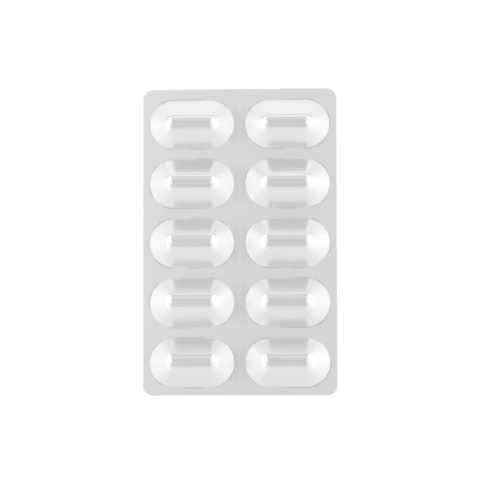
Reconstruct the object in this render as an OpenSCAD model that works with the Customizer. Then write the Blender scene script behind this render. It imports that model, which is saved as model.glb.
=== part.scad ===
// Blister pack of cold-formed foil: a flat sheet with rows of capsule-shaped pockets,
// sealed on its underside and lying on it. The foil is opaque, so the sealed pack is one
// solid. The origin is the middle of the underside, +Z points out of the pockets, +Y runs
// along the long side and +X across the sheet.

/* [Pockets] */
// Pockets side by side across the sheet
columns = 2; // [1:1:4]
// Rows of pockets along the sheet
rows = 5; // [1:1:8]
// Length of a pocket at its rim, across the sheet
pocket_length = 27; // [20:0.5:32]
// Width of a pocket at its rim, along the sheet
pocket_width = 15.2; // [12:0.2:18]
// Height of a pocket above the flat sheet
pocket_height = 5; // [3:0.25:6.5]
// Radius that the forming punch gives a pocket's crown
crown_radius = 4.4; // [2:0.2:5]
// Radius of the bend between a pocket's wall and the flat sheet
rim_radius = 0.6; // [0.3:0.1:1.2]

/* [Sheet] */
// Flat strip between two columns of pockets
column_gap = 2.6; // [1:0.2:8]
// Flat strip between two rows of pockets
row_gap = 3.3; // [1:0.1:8]
// Flat strip along each long side
side_margin = 1.7; // [1:0.1:6]
// Flat strip along each short side
end_margin = 2.9; // [1:0.1:6]
// Radius of the sheet's die-cut corners
corner_radius = 3.2; // [1:0.2:5]
// Thickness of the formed foil and the lidding foil sealed together
sheet_thickness = 0.2; // [0.15:0.05:0.5]

/* [Hidden] */
$fn = 96;

column_pitch = pocket_length + column_gap;
row_pitch = pocket_width + row_gap;
sheet_width = columns * column_pitch - column_gap + 2 * side_margin;
sheet_length = rows * row_pitch - row_gap + 2 * end_margin;

// A pocket is a straight barrel between two round ends that have the same section.
end_radius = pocket_width / 2;
barrel_length = pocket_length - pocket_width;

// The section is a crown arc, a straight stretch of wall and the rim's arc, one running
// into the next. The wall is the line that touches both arcs, so its slope follows from
// their radii and centres.
pocket_top_z = sheet_thickness + pocket_height;
crown_centre = [0, pocket_top_z - crown_radius];
rim_centre = [end_radius, sheet_thickness + rim_radius];
between_centres = rim_centre - crown_centre;
wall_slope = asin((crown_radius + rim_radius) / norm(between_centres))
    - atan2(between_centres.y, between_centres.x);
wall_normal = [sin(wall_slope), cos(wall_slope)];

// The wall's ends lie this far inside the two arcs, so that they cross and don't just touch.
overlap = 0.005;
wall_top = crown_centre + (crown_radius - overlap) * wall_normal;
wall_foot = rim_centre - (rim_radius - overlap) * wall_normal;

// Depth to which a pocket's solid is rooted in the sheet
root_z = sheet_thickness / 2;

// Half of a pocket's section, right of its middle plane, with z drawn upwards.
module half_section() {
    difference() {
        union() {
            intersection() {
                translate(crown_centre)
                    circle(r = crown_radius);
                translate([0, root_z])
                    square([end_radius, pocket_top_z]);
            }
            polygon([
                [0, root_z],
                [end_radius, root_z],
                [end_radius, wall_foot.y],
                wall_foot,
                wall_top,
                [0, wall_top.y]
            ]);
        }
        translate(rim_centre)
            circle(r = rim_radius);
    }
}

// The straight barrel between a pocket's two ends.
module barrel() {
    translate([-barrel_length / 2, 0, 0])
        rotate([90, 0, 90])
            linear_extrude(height = barrel_length)
                for (side = [1, -1])
                    scale([side, 1])
                        half_section();
}

// The round end of a pocket, towards +X.
module round_end() {
    translate([barrel_length / 2, 0, 0])
        rotate([0, 0, -90])
            rotate_extrude(angle = 180)
                half_section();
}

module pocket() {
    barrel();
    round_end();
    mirror([1, 0, 0])
        round_end();
}

// Middle of the pocket in a column and a row, both counted from 0.
function pocket_place(column, row) = [
    (column - (columns - 1) / 2) * column_pitch,
    (row - (rows - 1) / 2) * row_pitch,
    0
];

// The flat sheet with its rounded corners.
module flat_sheet() {
    linear_extrude(height = sheet_thickness)
        union() {
            square([sheet_width - 2 * corner_radius, sheet_length], center = true);
            square([sheet_width, sheet_length - 2 * corner_radius], center = true);
            for (x = [-1, 1], y = [-1, 1])
                translate([
                    x * (sheet_width / 2 - corner_radius),
                    y * (sheet_length / 2 - corner_radius)
                ])
                    circle(r = corner_radius);
        }
}

module blister_pack() {
    color("silver")
        union() {
            flat_sheet();
            for (column = [0 : columns - 1], row = [0 : rows - 1])
                translate(pocket_place(column, row))
                    pocket();
        }
}

blister_pack();
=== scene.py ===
import math

import bmesh
import bpy
from mathutils import Matrix, Vector


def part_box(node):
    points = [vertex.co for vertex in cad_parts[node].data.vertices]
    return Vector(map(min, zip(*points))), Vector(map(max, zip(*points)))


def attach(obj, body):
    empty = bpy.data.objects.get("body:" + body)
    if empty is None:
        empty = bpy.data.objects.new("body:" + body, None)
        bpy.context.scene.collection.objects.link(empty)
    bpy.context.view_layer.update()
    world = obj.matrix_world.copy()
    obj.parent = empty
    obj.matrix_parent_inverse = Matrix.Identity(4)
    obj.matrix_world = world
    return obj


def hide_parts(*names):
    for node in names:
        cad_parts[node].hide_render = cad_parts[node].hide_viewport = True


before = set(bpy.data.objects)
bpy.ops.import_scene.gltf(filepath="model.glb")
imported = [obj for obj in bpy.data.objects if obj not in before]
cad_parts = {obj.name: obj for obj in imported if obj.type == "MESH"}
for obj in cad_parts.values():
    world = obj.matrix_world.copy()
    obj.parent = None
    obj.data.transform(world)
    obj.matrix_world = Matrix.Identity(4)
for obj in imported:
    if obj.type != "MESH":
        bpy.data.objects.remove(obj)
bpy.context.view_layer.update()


# Studio
# The pack lies on a white table inside a white light tent. The tent glows brightest at its
# left and right, where the lamps stand behind its cloth, and is greyer over the middle and
# towards the far side. The camera looks nearly straight down through the top.
MM = 0.001

camera_distance = 800 * MM
camera_lens = 193.8
camera_aim = Vector((0.05 * MM, 0.54 * MM, 0))
camera_lean_right = math.radians(3.7)
camera_lean_near = math.radians(4.0)
camera_roll = math.radians(-0.09)
camera_data = bpy.data.cameras.new("camera")
camera_data.sensor_width = 36
camera_data.lens = camera_lens
camera_data.clip_start = 0.01
camera_data.clip_end = 20
camera = bpy.data.objects.new("camera", camera_data)
back = Vector((math.sin(camera_lean_right), -math.sin(camera_lean_near), 0))
back.z = math.sqrt(1 - back.x ** 2 - back.y ** 2)
upward = (Vector((0, 1, 0)) - back * back.y).normalized()
camera.location = camera_aim + camera_distance * back
turn = Matrix((upward.cross(back), upward, back)).transposed() @ Matrix.Rotation(camera_roll, 3, "Z")
camera.rotation_euler = turn.to_euler()
bpy.context.scene.collection.objects.link(camera)
bpy.context.scene.camera = camera
bpy.context.scene.view_settings.view_transform = "Standard"


def math_node(tree, operation, *inputs):
    """A Math node whose inputs are numbers or sockets; gives its output socket."""
    node = tree.nodes.new("ShaderNodeMath")
    node.operation = operation
    for socket, value in zip(node.inputs, inputs):
        if isinstance(value, (int, float)):
            socket.default_value = value
        else:
            tree.links.new(value, socket)
    return node.outputs[0]


def smooth_step(tree, value, start, end, low=0.0, high=1.0):
    """Runs smoothly from low to high while the value goes from start to end."""
    node = tree.nodes.new("ShaderNodeMapRange")
    node.interpolation_type = "SMOOTHSTEP"
    tree.links.new(value, node.inputs["Value"])
    for name, number in (("From Min", start), ("From Max", end), ("To Min", low), ("To Max", high)):
        node.inputs[name].default_value = number
    return node.outputs["Result"]


def seen_by(tree, eye, metal):
    """Gives one number to rays from the camera, one to rays from metal or glass, 0 to others."""
    path = tree.nodes.new("ShaderNodeLightPath")
    shiny = math_node(tree, "MAXIMUM", path.outputs["Is Glossy Ray"], path.outputs["Is Transmission Ray"])
    return math_node(tree, "MAXIMUM", math_node(tree, "MULTIPLY", path.outputs["Is Camera Ray"], eye),
                     math_node(tree, "MULTIPLY", shiny, metal))


room_light = 0.7
world = bpy.data.worlds.new("room")
bpy.context.scene.world = world
world.use_nodes = True
tree = world.node_tree
background = tree.nodes["Background"]
background.inputs["Color"].default_value = (1, 1, 1, 1)
white_room = math_node(tree, "MAXIMUM", seen_by(tree, 1.0, 1.0), room_light)
tree.links.new(white_room, background.inputs["Strength"])

table_size = 6.0
table_albedo = 0.8
table_glow_for_eye = 0.45
table_glow_for_metal = 0.45
bpy.ops.object.select_all(action="DESELECT")
bpy.ops.mesh.primitive_plane_add(size=table_size)
table = bpy.context.object
table.name = "table"
table_material = bpy.data.materials.new("white_table")
table_material.use_nodes = True
tree = table_material.node_tree
tree.nodes.remove(tree.nodes["Principled BSDF"])
matt = tree.nodes.new("ShaderNodeBsdfDiffuse")
matt.inputs["Color"].default_value = (table_albedo, table_albedo, table_albedo, 1)
glow = tree.nodes.new("ShaderNodeEmission")
glow.inputs["Color"].default_value = (1, 1, 1, 1)
tree.links.new(seen_by(tree, table_glow_for_eye, table_glow_for_metal), glow.inputs["Strength"])
both = tree.nodes.new("ShaderNodeAddShader")
tree.links.new(matt.outputs[0], both.inputs[0])
tree.links.new(glow.outputs[0], both.inputs[1])
tree.links.new(both.outputs[0], tree.nodes["Material Output"].inputs["Surface"])
table.data.materials.append(table_material)

# The tent's glow by angle from straight up, in degrees, on each of its four sides.
tent_radius = 0.7
right_glow = ((0, 1.02), (20, 1.04), (30, 1.02), (38, 1.01), (60, 1.13), (75, 1.10), (90, 0.98))
left_glow = ((0, 0.97), (8, 1.02), (20, 1.05), (42, 1.00), (60, 1.19), (70, 1.20), (78, 1.06), (90, 0.89))
far_glow = ((0, 0.62), (12, 0.65), (24, 0.62), (30, 0.73), (52, 0.75), (62, 0.69), (69, 0.49), (78, 0.55),
            (90, 0.61))
near_glow = ((0, 0.45), (10, 0.51), (20, 0.56), (31, 0.63), (36, 0.76), (48, 0.84), (60, 0.82), (77, 0.88),
             (83, 0.76), (90, 0.66))
most_glow = 1.5
far_tint = (0.985, 1.0, 1.012)

# The greyer part runs over the middle from end to end. These are parts of the unit sphere.
trough_middle = -0.013
trough_half_width_far, trough_half_width_near = 0.17, 0.24
trough_spread_far, trough_spread_near = 0.30, 0.737
trough_softness_far, trough_softness_near = 0.13, 0.97
seam_half_width = 0.03

bpy.ops.object.select_all(action="DESELECT")
bpy.ops.mesh.primitive_uv_sphere_add(radius=tent_radius, segments=64, ring_count=32)
tent = bpy.context.object
tent.name = "light_tent"
bpy.ops.object.mode_set(mode="EDIT")
bpy.ops.mesh.select_all(action="SELECT")
bpy.ops.mesh.bisect(plane_co=(0, 0, 0), plane_no=(0, 0, -1), clear_outer=True)
bpy.ops.object.mode_set(mode="OBJECT")
tent_material = bpy.data.materials.new("tent_cloth")
tent_material.use_nodes = True
tree = tent_material.node_tree
tree.nodes.remove(tree.nodes["Principled BSDF"])
place = tree.nodes.new("ShaderNodeTexCoord")
unit = tree.nodes.new("ShaderNodeVectorMath")
unit.operation = "NORMALIZE"
tree.links.new(place.outputs["Object"], unit.inputs[0])
axes = tree.nodes.new("ShaderNodeSeparateXYZ")
tree.links.new(unit.outputs["Vector"], axes.inputs["Vector"])
from_top = math_node(tree, "DIVIDE", math_node(tree, "ARCCOSINE", axes.outputs["Z"]), math.pi / 2)


def side_of_tent(stops, tint=(1, 1, 1)):
    """One side's glow as a colour ramp over the angle from straight up."""
    node = tree.nodes.new("ShaderNodeValToRGB")
    elements = node.color_ramp.elements
    while len(elements) < len(stops):
        elements.new(0.5)
    for element, (angle, value) in zip(elements, stops):
        element.position = angle / 90
        element.color = (*(value / most_glow * c for c in tint), 1)
    tree.links.new(from_top, node.inputs["Fac"])
    return node.outputs["Color"]


def mix_colours(tree, amount, first, second):
    """Runs from the first colour to the second; each is a colour or a socket."""
    node = tree.nodes.new("ShaderNodeMix")
    node.data_type = "RGBA"
    tree.links.new(amount, node.inputs["Factor"])
    for socket, colour in ((node.inputs["A"], first), (node.inputs["B"], second)):
        if isinstance(colour, tuple):
            socket.default_value = (*colour, 1)
        else:
            tree.links.new(colour, socket)
    return node.outputs["Result"]


def far_or_near(far_value, near_value):
    """One number on the tent's far half and another on its near half."""
    return math_node(tree, "MULTIPLY_ADD", is_far, far_value - near_value, near_value)


is_right = smooth_step(tree, axes.outputs["X"], -seam_half_width, seam_half_width)
is_far = smooth_step(tree, axes.outputs["Y"], -seam_half_width, seam_half_width)
sides = mix_colours(tree, is_right, side_of_tent(left_glow), side_of_tent(right_glow))
ends = mix_colours(tree, is_far, side_of_tent(near_glow), side_of_tent(far_glow, far_tint))
spread = far_or_near(trough_spread_far, trough_spread_near)
half_width = far_or_near(trough_half_width_far, trough_half_width_near)
softness = far_or_near(trough_softness_far, trough_softness_near)
across = math_node(tree, "ABSOLUTE", math_node(tree, "SUBTRACT", axes.outputs["X"], trough_middle))
along = math_node(tree, "ABSOLUTE", axes.outputs["Y"])
trough_edge = math_node(tree, "MULTIPLY_ADD", spread, along, half_width)
past_edge = math_node(tree, "SUBTRACT", across, trough_edge)
outside = smooth_step(tree, math_node(tree, "DIVIDE", past_edge, softness), -1, 1)
emission = tree.nodes.new("ShaderNodeEmission")
emission.inputs["Strength"].default_value = most_glow
tree.links.new(mix_colours(tree, outside, ends, sides), emission.inputs["Color"])
tree.links.new(emission.outputs[0], tree.nodes["Material Output"].inputs["Surface"])
tent.data.materials.append(tent_material)
tent.visible_camera = False
tent.visible_diffuse = False
tent.visible_shadow = False

# A white strip stands close behind the far end. Only the far row's outer walls mirror it. Its
# bands are given as bottom, top and glow.
strip_y = 0.101
strip_half_width = 0.20
strip_bands = ((0.000, 0.008, 0.92), (0.008, 0.016, 1.00), (0.016, 0.024, 0.84), (0.024, 0.034, 0.68),
               (0.034, 0.050, 1.06))
bpy.ops.object.select_all(action="DESELECT")
for number, (bottom, top, value) in enumerate(strip_bands):
    bpy.ops.mesh.primitive_plane_add(size=1)
    strip = bpy.context.object
    strip.name = f"far_strip_{number}"
    corners = ((-1, bottom), (1, bottom), (-1, top), (1, top))
    for vertex, (way, z) in zip(strip.data.vertices, corners):
        vertex.co = (way * strip_half_width, strip_y, z)
    strip_material = bpy.data.materials.new(f"strip_{number}")
    strip_material.use_nodes = True
    nodes = strip_material.node_tree.nodes
    nodes.remove(nodes["Principled BSDF"])
    lit = nodes.new("ShaderNodeEmission")
    lit.inputs["Color"].default_value = (value, value, value, 1)
    strip_material.node_tree.links.new(lit.outputs[0], nodes["Material Output"].inputs["Surface"])
    strip.data.materials.append(strip_material)
    strip.visible_camera = False
    strip.visible_diffuse = False
    strip.visible_shadow = False


# Formed foil
# One sheet of aluminium laminate, cold-drawn into ten pockets by a round-nosed punch. The
# flat part between them is sealed to the lidding foil and carries the sealing tool's knurl.
# Its outline is die-cut with round corners.
columns, rows = 2, 5
pocket_length, pocket_width, pocket_height = 26.4 * MM, 15.2 * MM, 4.9 * MM
crown_radius, end_crown_radius, rim_radius = 4.4 * MM, 3.0 * MM, 0.4 * MM
column_pitch, row_pitch = 29.6 * MM, 18.5 * MM
rows_shift = -0.42 * MM
formed_thickness, lidding_thickness = 0.15 * MM, 0.05 * MM
corner_radius = 3.2 * MM
corner_cuts = 12
barrel_steps = 16
end_steps = 28
crown_steps, wall_steps, rim_steps = 10, 6, 5
web_rings = 5
wave_height = 0.06 * MM
wave_length = 14 * MM
smooth_below = math.radians(40)

sheet_low, sheet_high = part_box("blister_pack")
sheet_top = formed_thickness + lidding_thickness
end_radius = pocket_width / 2
half_barrel = (pocket_length - pocket_width) / 2
cell_x, cell_y = column_pitch / 2, row_pitch / 2
tiny = 1e-6


def only(piece):
    """Leaves one object selected and active."""
    bpy.ops.object.select_all(action="DESELECT")
    piece.select_set(True)
    bpy.context.view_layer.objects.active = piece


def pick_vertices(piece, wanted):
    """Selects the vertices of the piece in edit mode for which wanted(place) is true."""
    bpy.ops.mesh.select_mode(type="VERT")
    bpy.ops.mesh.select_all(action="DESELECT")
    shape = bmesh.from_edit_mesh(piece.data)
    for vertex in shape.verts:
        if wanted(vertex.co):
            vertex.select = True
    shape.select_flush_mode()
    bmesh.update_edit_mesh(piece.data)


def section(crown):
    """Where a pocket's crown arc, wall and rim arc meet, for one crown radius."""
    crown_centre = Vector((0, sheet_top + pocket_height - crown))
    rim_centre = Vector((end_radius, sheet_top + rim_radius))
    between = rim_centre - crown_centre
    slope = (math.asin((crown + rim_radius) / between.length)
             - math.atan2(between.y, between.x))
    out = Vector((math.sin(slope), math.cos(slope)))
    return crown_centre, rim_centre, slope, crown_centre + crown * out, rim_centre - rim_radius * out


def height_at(distance, crown):
    """Height of the section at a distance from its middle plane."""
    crown_centre, rim_centre, _, head, foot = section(crown)
    if distance < head.x:
        return crown_centre.y + math.sqrt(crown ** 2 - distance ** 2)
    if distance < foot.x:
        return head.lerp(foot, (distance - head.x) / (foot.x - head.x)).y
    return rim_centre.y - math.sqrt(max(rim_radius ** 2 - (end_radius - distance) ** 2, 0))


def section_points():
    """Half of a pocket's section, from the crown's middle out to the rim: distance and height."""
    _, _, slope, head, foot = section(crown_radius)
    distances = [crown_radius * math.sin(slope * i / crown_steps) for i in range(crown_steps)]
    distances += [head.x + (foot.x - head.x) * i / wall_steps for i in range(wall_steps)]
    distances += [end_radius - rim_radius * math.sin(slope * (1 - i / rim_steps))
                  for i in range(rim_steps + 1)]
    return [Vector((distance, height_at(distance, crown_radius))) for distance in distances]


def quarter_cell(points):
    """A quarter of a pocket with its share of the flat sheet: section drawn, spun, drawn out."""
    bpy.ops.object.select_all(action="DESELECT")
    bpy.ops.mesh.primitive_plane_add(size=1 * MM)
    piece = bpy.context.object
    bpy.ops.object.mode_set(mode="EDIT")
    bpy.ops.mesh.select_all(action="SELECT")
    bpy.ops.mesh.merge(type="CENTER")
    bpy.ops.transform.translate(value=(half_barrel, points[0].x, points[0].y))
    for before, after in zip(points, points[1:]):
        step = (0, after.x - before.x, after.y - before.y)
        bpy.ops.mesh.extrude_vertices_move(TRANSFORM_OT_translate={"value": step})
    bpy.ops.mesh.select_all(action="SELECT")
    bpy.ops.mesh.spin(steps=end_steps // 2, angle=math.radians(90), center=(half_barrel, 0, 0),
                      axis=(0, 0, 1))
    bpy.ops.mesh.select_all(action="SELECT")
    bpy.ops.mesh.remove_doubles(threshold=tiny)
    pick_vertices(piece, lambda p: abs(p.x - half_barrel) < tiny and p.y > -tiny)
    for _ in range(barrel_steps // 2):
        bpy.ops.mesh.extrude_region_move(
            TRANSFORM_OT_translate={"value": (-2 * half_barrel / barrel_steps, 0, 0)})

    def on_rim(p):
        return abs(math.hypot(max(p.x - half_barrel, 0), p.y) - end_radius) < tiny

    # The rim's edge is copied and laid along the cell's straight sides, then bridged to the rim.
    pick_vertices(piece, on_rim)
    bpy.ops.mesh.duplicate()
    shape = bmesh.from_edit_mesh(piece.data)
    outer = [v for v in shape.verts if v.select]
    diagonal = end_radius / math.sqrt(2)
    half_step = 0.5 * end_radius * math.radians(90) / (end_steps // 2)
    for v in outer:
        x, y = v.co.x - half_barrel, v.co.y
        if x <= tiny:
            v.co = (v.co.x, cell_y, v.co.z)
        elif abs(y - x) < half_step:
            v.co = (cell_x, cell_y, v.co.z)
        elif y > x:
            v.co = (half_barrel + x / diagonal * (cell_x - half_barrel), cell_y, v.co.z)
        else:
            v.co = (cell_x, y / diagonal * cell_y, v.co.z)
    for v in shape.verts:
        v.select = on_rim(v.co) or v in outer
    shape.select_flush_mode()
    bmesh.update_edit_mesh(piece.data)
    bpy.ops.mesh.select_mode(type="EDGE")
    bpy.ops.mesh.bridge_edge_loops(number_cuts=web_rings - 1, interpolation="LINEAR")
    bpy.ops.object.mode_set(mode="OBJECT")
    return piece


def whole_sheet(quarter, name):
    """Mirrors a quarter cell, sets out all cells, adds the margins and rounds the corners."""
    only(quarter)
    mirror = quarter.modifiers.new("halves", "MIRROR")
    mirror.use_axis = (True, True, False)
    mirror.merge_threshold = tiny
    bpy.ops.object.modifier_apply(modifier="halves")
    cells = []
    for column in range(columns):
        for row in range(rows):
            only(quarter)
            bpy.ops.object.duplicate()
            bpy.ops.transform.translate(value=((column - (columns - 1) / 2) * column_pitch,
                                               (row - (rows - 1) / 2) * row_pitch + rows_shift, 0))
            bpy.ops.object.transform_apply(location=True, rotation=True, scale=True)
            cells.append(bpy.context.object)
    bpy.data.objects.remove(quarter)
    bpy.ops.object.select_all(action="DESELECT")
    for cell in cells:
        cell.select_set(True)
    bpy.context.view_layer.objects.active = cells[0]
    bpy.ops.object.join()
    sheet = bpy.context.object
    sheet.name = name
    bpy.ops.object.mode_set(mode="EDIT")
    bpy.ops.mesh.select_all(action="SELECT")
    bpy.ops.mesh.remove_doubles(threshold=tiny)
    for axis, way, edge, target in ((0, -1, -columns * cell_x, sheet_low.x),
                                    (0, 1, columns * cell_x, sheet_high.x),
                                    (1, -1, -rows * cell_y + rows_shift, sheet_low.y),
                                    (1, 1, rows * cell_y + rows_shift, sheet_high.y)):
        pick_vertices(sheet, lambda p: abs(p[axis] - edge) < tiny)
        step = [0, 0, 0]
        step[axis] = target - edge
        bpy.ops.mesh.extrude_region_move(TRANSFORM_OT_translate={"value": step})
    for x_way in (-1, 1):
        for y_way in (-1, 1):
            middle = Vector((x_way * (sheet_high.x - corner_radius),
                             y_way * (sheet_high.y - corner_radius), 0))
            for i in range(corner_cuts):
                angle = math.radians(90) * (i + 0.5) / corner_cuts
                out = Vector((x_way * math.cos(angle), y_way * math.sin(angle), 0))
                bpy.ops.mesh.select_all(action="SELECT")
                bpy.ops.mesh.bisect(plane_co=middle + corner_radius * out, plane_no=out,
                                    clear_outer=True)
    bpy.ops.mesh.select_all(action="SELECT")
    bpy.ops.mesh.remove_doubles(threshold=tiny)
    bpy.ops.mesh.normals_make_consistent(inside=False)
    bpy.ops.object.mode_set(mode="OBJECT")
    if sum(p.normal.z for p in sheet.data.polygons) < 0:
        sheet.data.flip_normals()
    return sheet


def make_wavy(sheet):
    """Gives a sheet the slight, slow waves of a foil that has been handled."""
    waves = sheet.modifiers.new("waves", "DISPLACE")
    waves.texture = wave_texture
    waves.texture_coords = "LOCAL"
    waves.direction = "Z"
    waves.mid_level = 0
    waves.strength = wave_height
    only(sheet)
    bpy.ops.object.modifier_apply(modifier="waves")


wave_texture = bpy.data.textures.new("foil_waves", "CLOUDS")
wave_texture.noise_scale = wave_length
wave_texture.noise_depth = 1

quarter = quarter_cell(section_points())

# Towards the pocket's ends the crown gets tighter.
for vertex in quarter.data.vertices:
    x, y = max(vertex.co.x - half_barrel, 0), vertex.co.y
    distance = math.hypot(x, y)
    if 0 < distance < end_radius - tiny:
        towards_end = (x / distance) ** 2
        vertex.co.z = ((1 - towards_end) * height_at(distance, crown_radius)
                       + towards_end * height_at(distance, end_crown_radius))
foil = whole_sheet(quarter, "formed_foil")
make_wavy(foil)

laminate = foil.modifiers.new("laminate", "SOLIDIFY")
laminate.thickness = formed_thickness
laminate.offset = -1
laminate.use_even_offset = True
only(foil)
bpy.ops.object.modifier_apply(modifier="laminate")
bpy.ops.object.shade_smooth_by_angle(angle=smooth_below)


def new_group(name, inputs, outputs):
    """A shader node group with named sockets: the group, its input node and its output node."""
    group = bpy.data.node_groups.new(name, "ShaderNodeTree")
    kinds = {"number": "NodeSocketFloat", "vector": "NodeSocketVector"}
    for socket_name, kind, value in inputs:
        socket = group.interface.new_socket(socket_name, in_out="INPUT", socket_type=kinds[kind])
        if value is not None:
            socket.default_value = value
    for socket_name, kind in outputs:
        group.interface.new_socket(socket_name, in_out="OUTPUT", socket_type=kinds[kind])
    return group, group.nodes.new("NodeGroupInput"), group.nodes.new("NodeGroupOutput")


def pocket_field_group():
    """A point's distance from its pocket's middle line, and how far round towards an end it is."""
    group, given, result = new_group(
        "pocket_field", [("Place", "vector", None)],
        [("Distance", "number"), ("Towards End", "number")])
    axes = group.nodes.new("ShaderNodeSeparateXYZ")
    group.links.new(given.outputs["Place"], axes.inputs["Vector"])
    from_middle = math_node(group, "ABSOLUTE", axes.outputs["X"])
    from_column = math_node(group, "SUBTRACT", from_middle, column_pitch / 2)
    past_barrel = math_node(group, "SUBTRACT", math_node(group, "ABSOLUTE", from_column), half_barrel)
    beyond = math_node(group, "MAXIMUM", past_barrel, 0)
    y = math_node(group, "SUBTRACT", axes.outputs["Y"], rows_shift)
    row = math_node(group, "ROUND", math_node(group, "DIVIDE", y, row_pitch))
    last = (rows - 1) / 2
    row = math_node(group, "MINIMUM", math_node(group, "MAXIMUM", row, -last), last)
    from_row = math_node(group, "SUBTRACT", y, math_node(group, "MULTIPLY", row, row_pitch))
    squares = math_node(group, "ADD", math_node(group, "MULTIPLY", beyond, beyond),
                        math_node(group, "MULTIPLY", from_row, from_row))
    distance = math_node(group, "SQRT", squares)
    group.links.new(distance, result.inputs["Distance"])
    group.links.new(math_node(group, "DIVIDE", beyond, math_node(group, "MAXIMUM", distance, tiny)),
                    result.inputs["Towards End"])
    return group


def noise(tree, vector, scale, detail=2.0, roughness=0.5, stretch=(1, 1, 1), turn=0.0):
    """Soft noise, about 0.5 in the middle; scale is in features per metre."""
    mapping = tree.nodes.new("ShaderNodeMapping")
    mapping.inputs["Scale"].default_value = stretch
    mapping.inputs["Rotation"].default_value = (0, 0, turn)
    tree.links.new(vector, mapping.inputs["Vector"])
    node = tree.nodes.new("ShaderNodeTexNoise")
    tree.links.new(mapping.outputs["Vector"], node.inputs["Vector"])
    node.inputs["Scale"].default_value = scale
    node.inputs["Detail"].default_value = detail
    node.inputs["Roughness"].default_value = roughness
    return node.outputs["Fac"]


rolling_line_width, grain_size = 0.12 * MM, 0.35 * MM
rolling_line_stretch = (1, 0.02, 1)


def rolled_grain_group():
    """Foil's rolling lines along the sheet, and the fine grain that drawing brings up."""
    group, given, result = new_group(
        "rolled_grain", [("Place", "vector", None)], [("Lines", "number"), ("Grain", "number")])
    place = given.outputs["Place"]
    lines = noise(group, place, 1 / rolling_line_width, 1.5, 0.5, rolling_line_stretch)
    group.links.new(lines, result.inputs["Lines"])
    group.links.new(noise(group, place, 1 / grain_size, 2.0, 0.6), result.inputs["Grain"])
    return group


dulled_patch, scratched_patch = 9 * MM, 6 * MM
scratch_width, scratch_stretch = 0.5 * MM, (1, 0.03, 1)
scratch_directions = (0.5, 2.2)


def handling_group():
    """Where hands and other packs have dulled or scratched the foil."""
    group, given, result = new_group(
        "handling", [("Place", "vector", None)], [("Dulled", "number"), ("Scratches", "number")])
    place = given.outputs["Place"]
    dulled = smooth_step(group, noise(group, place, 1 / dulled_patch, 3.0, 0.6), 0.42, 0.72)
    group.links.new(dulled, result.inputs["Dulled"])
    scratches = []
    for turn in scratch_directions:
        line = noise(group, place, 1 / scratch_width, 1.0, 0.4, scratch_stretch, turn)
        scratches.append(smooth_step(group, line, 0.70, 0.76))
    few = smooth_step(group, noise(group, place, 1 / scratched_patch, 1.0), 0.52, 0.62)
    both_ways = math_node(group, "MAXIMUM", *scratches)
    group.links.new(math_node(group, "MULTIPLY", both_ways, few), result.inputs["Scratches"])
    return group


knurl_pitch = 0.6 * MM


def seal_knurl_group():
    """The sealing tool's diamond knurl: rows of small raised diamonds between fine grooves."""
    group, given, result = new_group(
        "seal_knurl", [("Place", "vector", None), ("Pitch", "number", knurl_pitch)], [("Height", "number")])
    axes = group.nodes.new("ShaderNodeSeparateXYZ")
    group.links.new(given.outputs["Place"], axes.inputs["Vector"])
    waves = []
    for operation in ("ADD", "SUBTRACT"):
        diagonal = math_node(group, operation, axes.outputs["X"], axes.outputs["Y"])
        turns = math_node(group, "DIVIDE", diagonal, given.outputs["Pitch"])
        turns = math_node(group, "MULTIPLY", turns, math.pi)
        waves.append(math_node(group, "ABSOLUTE", math_node(group, "SINE", turns)))
    group.links.new(math_node(group, "MINIMUM", *waves), result.inputs["Height"])
    return group


pocket_field, rolled_grain = pocket_field_group(), rolled_grain_group()
handling, seal_knurl = handling_group(), seal_knurl_group()


def foil_material(name):
    """A metal material: the material, its node tree, its Principled node and the place on it."""
    material = bpy.data.materials.new(name)
    material.use_nodes = True
    tree = material.node_tree
    principled = tree.nodes["Principled BSDF"]
    principled.inputs["Metallic"].default_value = 1
    place = tree.nodes.new("ShaderNodeTexCoord").outputs["Object"]
    return material, tree, principled, place


def use_group(tree, group, place):
    """Puts a node group into a material; gives its output sockets."""
    node = tree.nodes.new("ShaderNodeGroup")
    node.node_tree = group
    tree.links.new(place, node.inputs["Place"])
    return node.outputs


def bump(tree, height, distance, strength, before=None):
    """A Bump node, on top of another one's normal if that is given."""
    node = tree.nodes.new("ShaderNodeBump")
    node.inputs["Distance"].default_value = distance
    node.inputs["Strength"].default_value = strength
    tree.links.new(height, node.inputs["Height"])
    if before is not None:
        tree.links.new(before, node.inputs["Normal"])
    return node.outputs["Normal"]


def worn_roughness(tree, marks, roughness, dulled, scratched):
    """Adds the roughness of dulled patches and of scratches."""
    roughness = math_node(tree, "MULTIPLY_ADD", marks["Dulled"], dulled, roughness)
    return math_node(tree, "MULTIPLY_ADD", marks["Scratches"], scratched, roughness)


foil_colour = (0.92, 0.92, 0.92)
dulled_colour = (0.90, 0.90, 0.903)
crown_roughness, side_wall_roughness, end_wall_roughness = 0.13, 0.20, 0.35
crown_reach, wall_start = 2.0 * MM, 3.6 * MM
side_wall_until, end_wall_from = 0.15, 0.60
drawn_grain_depth, rolling_line_depth = 0.004 * MM, 0.002 * MM
grain_strength, rolling_line_strength = 0.5, 0.2
dulled_roughness, scratched_roughness = 0.03, 0.08
drawn_foil, tree, principled, place = foil_material("drawn_foil")
field = use_group(tree, pocket_field, place)
grain = use_group(tree, rolled_grain, place)
marks = use_group(tree, handling, place)
at_end = smooth_step(tree, field["Towards End"], side_wall_until, end_wall_from)
wall_roughness = math_node(tree, "MULTIPLY_ADD", at_end, end_wall_roughness - side_wall_roughness,
                           side_wall_roughness)
on_wall = smooth_step(tree, field["Distance"], crown_reach, wall_start)
rougher = math_node(tree, "SUBTRACT", wall_roughness, crown_roughness)
roughness = math_node(tree, "MULTIPLY_ADD", on_wall, rougher, crown_roughness)
roughness = worn_roughness(tree, marks, roughness, dulled_roughness, scratched_roughness)
tree.links.new(roughness, principled.inputs["Roughness"])
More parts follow.
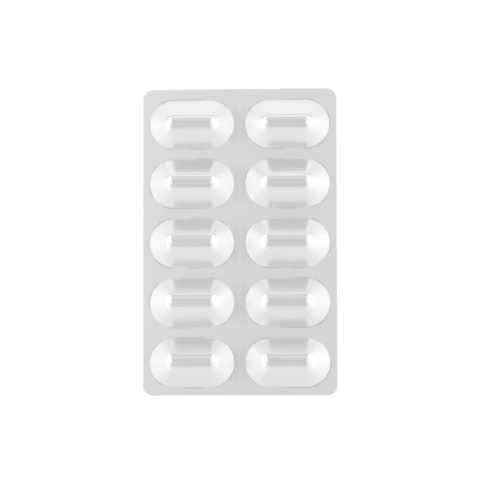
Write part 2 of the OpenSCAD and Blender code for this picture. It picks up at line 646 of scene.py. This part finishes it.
tree.links.new(mix_colours(tree, marks["Dulled"], foil_colour, dulled_colour),
               principled.inputs["Base Color"])
normal = bump(tree, grain["Grain"], drawn_grain_depth, grain_strength)
normal = bump(tree, grain["Lines"], rolling_line_depth, rolling_line_strength, normal)
tree.links.new(normal, principled.inputs["Normal"])

sealed_colour = (0.815, 0.815, 0.815)
# Painted light: the flat is made lighter towards the left.
painted_left_light_colour = (0.85, 0.85, 0.85)
# Painted shade on the flat between the columns, beside the pockets.
gap_shade_colour = (0.725, 0.725, 0.73)
# Painted shade in the crease at each pocket's rim.
rim_shade_colour = (0.66, 0.66, 0.67)
left_light_full, left_light_gone = -30 * MM, 8 * MM
gap_shade_full, gap_shade_gone = 0.4 * MM, 3.4 * MM
gap_shade_reach = 11.1 * MM
rim_shade_starts, rim_shade_full = end_radius - 0.25 * MM, end_radius
rim_shade_fades, rim_shade_gone = end_radius + 0.15 * MM, end_radius + 0.45 * MM
rim_shade_break, rim_shade_missing_below, rim_shade_whole_above = 7 * MM, 0.40, 0.62
knurl_starts, knurl_full = end_radius + 0.35 * MM, end_radius + 0.6 * MM
sealed_roughness, sealed_wear_roughness = 0.50, 0.06
sealed_grain_depth, knurl_depth = 0.006 * MM, 0.02 * MM
sealed_foil, tree, principled, place = foil_material("sealed_foil")
field = use_group(tree, pocket_field, place)
grain = use_group(tree, rolled_grain, place)
marks = use_group(tree, handling, place)
knurl = use_group(tree, seal_knurl, place)

# Painted shade: a broken dark line around each pocket, in the crease at its rim; the knurl starts past it.
rim_shade_in = smooth_step(tree, field["Distance"], rim_shade_starts, rim_shade_full)
rim_shade_out = smooth_step(tree, field["Distance"], rim_shade_fades, rim_shade_gone, 1, 0)
broken = smooth_step(tree, noise(tree, place, 1 / rim_shade_break), rim_shade_missing_below, rim_shade_whole_above)
rim_shade = math_node(tree, "MULTIPLY", math_node(tree, "MULTIPLY", rim_shade_in, rim_shade_out), broken)
knurled = smooth_step(tree, field["Distance"], knurl_starts, knurl_full)

# Painted shade darkens the flat between the two columns beside the pockets, which shade it there; painted
# light makes the flat lightest at the left.
axes = tree.nodes.new("ShaderNodeSeparateXYZ")
tree.links.new(place, axes.inputs["Vector"])
from_middle = math_node(tree, "ABSOLUTE", axes.outputs["X"])
between_columns = smooth_step(tree, from_middle, gap_shade_full, gap_shade_gone, 1, 0)
beside_a_pocket = smooth_step(tree, field["Distance"], end_radius, gap_shade_reach, 1, 0)
gap_shade = math_node(tree, "MULTIPLY", between_columns, beside_a_pocket)
# Painted light: lighter towards the left.
left_light = smooth_step(tree, axes.outputs["X"], left_light_full, left_light_gone, 1, 0)
colour = mix_colours(tree, left_light, sealed_colour, painted_left_light_colour)
colour = mix_colours(tree, gap_shade, colour, gap_shade_colour)
tree.links.new(mix_colours(tree, rim_shade, colour, rim_shade_colour), principled.inputs["Base Color"])
roughness = worn_roughness(tree, marks, sealed_roughness, sealed_wear_roughness, sealed_wear_roughness)
tree.links.new(roughness, principled.inputs["Roughness"])
knurl_height = math_node(tree, "MULTIPLY", knurl["Height"], knurled)
normal = bump(tree, knurl_height, knurl_depth, grain_strength)
normal = bump(tree, grain["Grain"], sealed_grain_depth, grain_strength, normal)
tree.links.new(normal, principled.inputs["Normal"])

foil.data.materials.append(drawn_foil)
foil.data.materials.append(sealed_foil)
last_row = (rows - 1) // 2
sealed_from = end_radius - 0.6 * rim_radius
for p in foil.data.polygons:
    across, along = abs(abs(p.center.x) - column_pitch / 2), p.center.y - rows_shift
    along -= row_pitch * max(-last_row, min(last_row, round(along / row_pitch)))
    if math.hypot(max(across - half_barrel, 0), along) > sealed_from:
        p.material_index = 1

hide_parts("blister_pack")
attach(foil, "root")


# Lidding foil
# A flat sheet of thin hard aluminium foil under the formed one, heat-sealed to it over the
# whole flat part. Under each pocket it is free and has been drawn up a little.
window_rise = 0.03 * MM
window_edge = 0.5 * MM
lid_points = [Vector((0, window_rise)), Vector((end_radius / 3, window_rise)),
              Vector((2 * end_radius / 3, window_rise)), Vector((end_radius - window_edge, window_rise)),
              Vector((end_radius - window_edge / 2, window_rise / 2)), Vector((end_radius, 0))]
lid = whole_sheet(quarter_cell(lid_points), "lidding_foil")
make_wavy(lid)
lid.data.flip_normals()
sheet_metal = lid.modifiers.new("foil", "SOLIDIFY")
sheet_metal.thickness = lidding_thickness
sheet_metal.offset = -1
sheet_metal.use_even_offset = True
only(lid)
bpy.ops.object.modifier_apply(modifier="foil")
bpy.ops.object.shade_smooth_by_angle(angle=smooth_below)
lid.data.materials.append(sealed_foil)
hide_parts("blister_pack")
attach(lid, "root")
